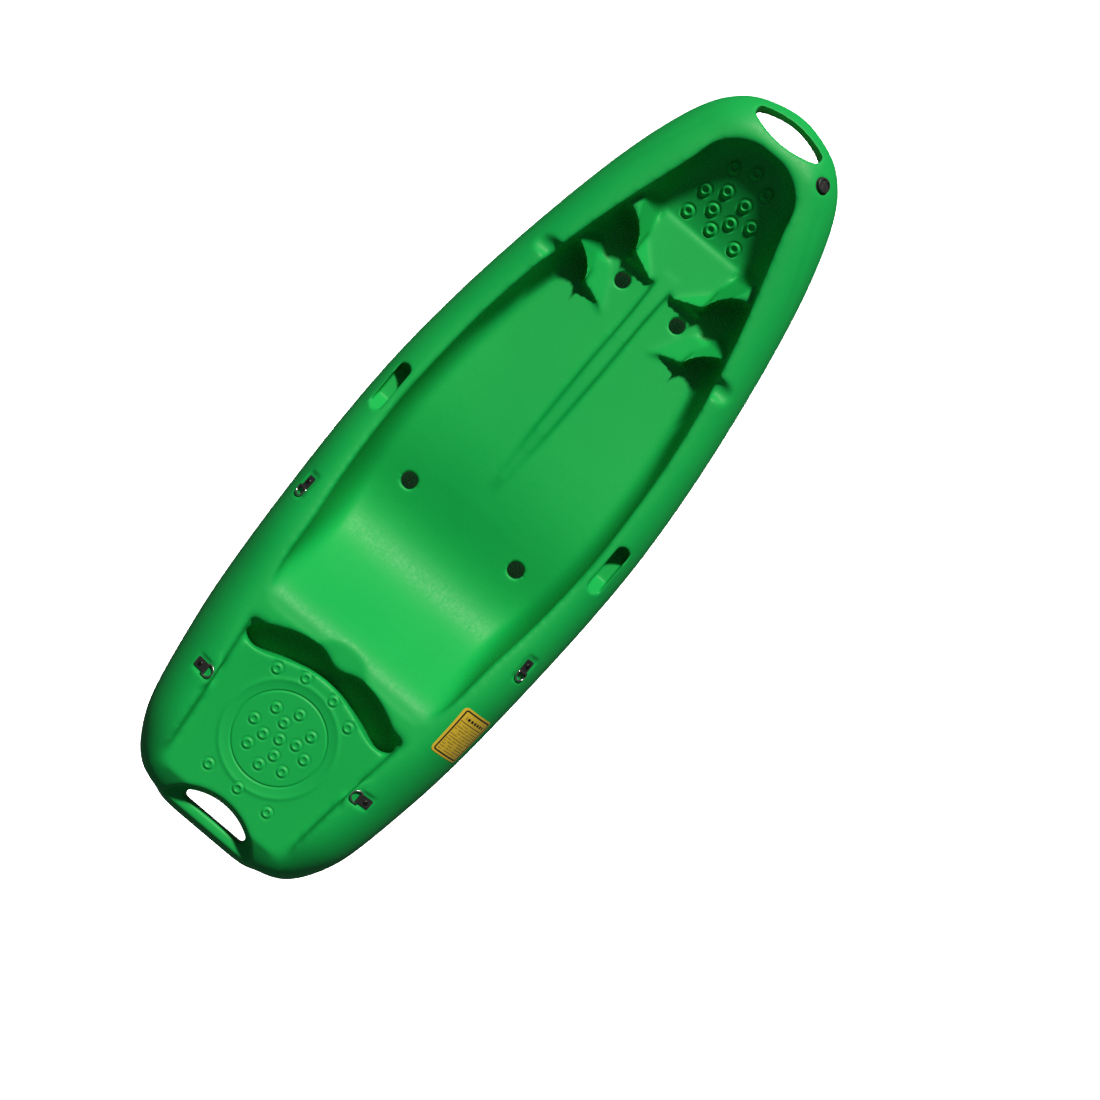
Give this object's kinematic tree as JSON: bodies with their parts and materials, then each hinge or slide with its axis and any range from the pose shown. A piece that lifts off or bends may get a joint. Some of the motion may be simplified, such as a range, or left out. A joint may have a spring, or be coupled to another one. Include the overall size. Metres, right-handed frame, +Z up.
{
  "type": "sit-on-top kayak",
  "caption": "Short one-piece moulded sit-on-top kayak with moulded seat, stepped footrests, grab bars, drain plug, label and swinging D-rings.",
  "frame": {"origin": "centre of the bounding box's bottom: mid-length, on the centreline, at the flat bottom", "axes": "+X towards the bow, +Y to port, +Z up"},
  "size_m": [1.86, 0.6456, 0.2644],
  "materials": {
    "green_polyethylene": "satin moulded polyethylene",
    "yellow_label": "printed vinyl",
    "black_plastic": "moulded",
    "black_rubber": "matt",
    "black_tab": "moulded",
    "stainless": "polished",
    "black_screw": "black oxide",
    "brass_insert": "knurled"
  },
  "bodies": {
    "hull": {"hull_shell": "green_polyethylene", "safety_label": "yellow_label", "drain_insert": "black_plastic", "ring_tab_mid_port": "black_tab", "ring_screw_mid_port": "black_screw", "ring_insert_mid_port": "brass_insert", "ring_tab_mid_starboard": "black_tab", "ring_screw_mid_starboard": "black_screw", "ring_insert_mid_starboard": "brass_insert", "ring_tab_rear_port": "black_tab", "ring_screw_rear_port": "black_screw", "ring_insert_rear_port": "brass_insert", "ring_tab_rear_starboard": "black_tab", "ring_screw_rear_starboard": "black_screw", "ring_insert_rear_starboard": "brass_insert"},
    "gasket": {"drain_gasket": "black_rubber"},
    "plug": {"drain_plug": "black_plastic"},
    "ring_mid_port": {"d_ring_mid_port": "stainless"},
    "ring_mid_starboard": {"d_ring_mid_starboard": "stainless"},
    "ring_rear_port": {"d_ring_rear_port": "stainless"},
    "ring_rear_starboard": {"d_ring_rear_starboard": "stainless"}
  },
  "joints": [
    {"name": "plug_rise", "type": "slide", "parent": "hull", "child": "gasket", "axis": [0.4026, -0.4696, 0.7857], "range_m": [0, 0.012]},
    {"name": "plug_turn", "type": "hinge", "parent": "gasket", "child": "plug", "pos_m": [0.84519, -0.11506, 0.23191], "axis": [0.4026, -0.4696, 0.7857], "range_deg": [0, 1440]},
    {"name": "ring_swing_mid_port", "type": "hinge", "parent": "hull", "child": "ring_mid_port", "pos_m": [-0.26634, 0.28357, 0.21602], "axis": [0, 0.6801, -0.7331], "range_deg": [0, 140]},
    {"name": "ring_swing_mid_starboard", "type": "hinge", "parent": "hull", "child": "ring_mid_starboard", "pos_m": [-0.26634, -0.28357, 0.21602], "axis": [0, 0.6801, 0.7331], "range_deg": [0, 140]},
    {"name": "ring_swing_rear_port", "type": "hinge", "parent": "hull", "child": "ring_rear_port", "pos_m": [-0.65862, 0.19687, 0.25587], "axis": [-0.995, 0, -0.1003], "range_deg": [0, 140]},
    {"name": "ring_swing_rear_starboard", "type": "hinge", "parent": "hull", "child": "ring_rear_starboard", "pos_m": [-0.65862, -0.19687, 0.25587], "axis": [0.995, 0, 0.1003], "range_deg": [0, 140]}
  ],
  "couplings": [
    {"joint": "plug_rise", "follows": "plug_turn", "m_per_rad": 0.00047746}
  ]
}
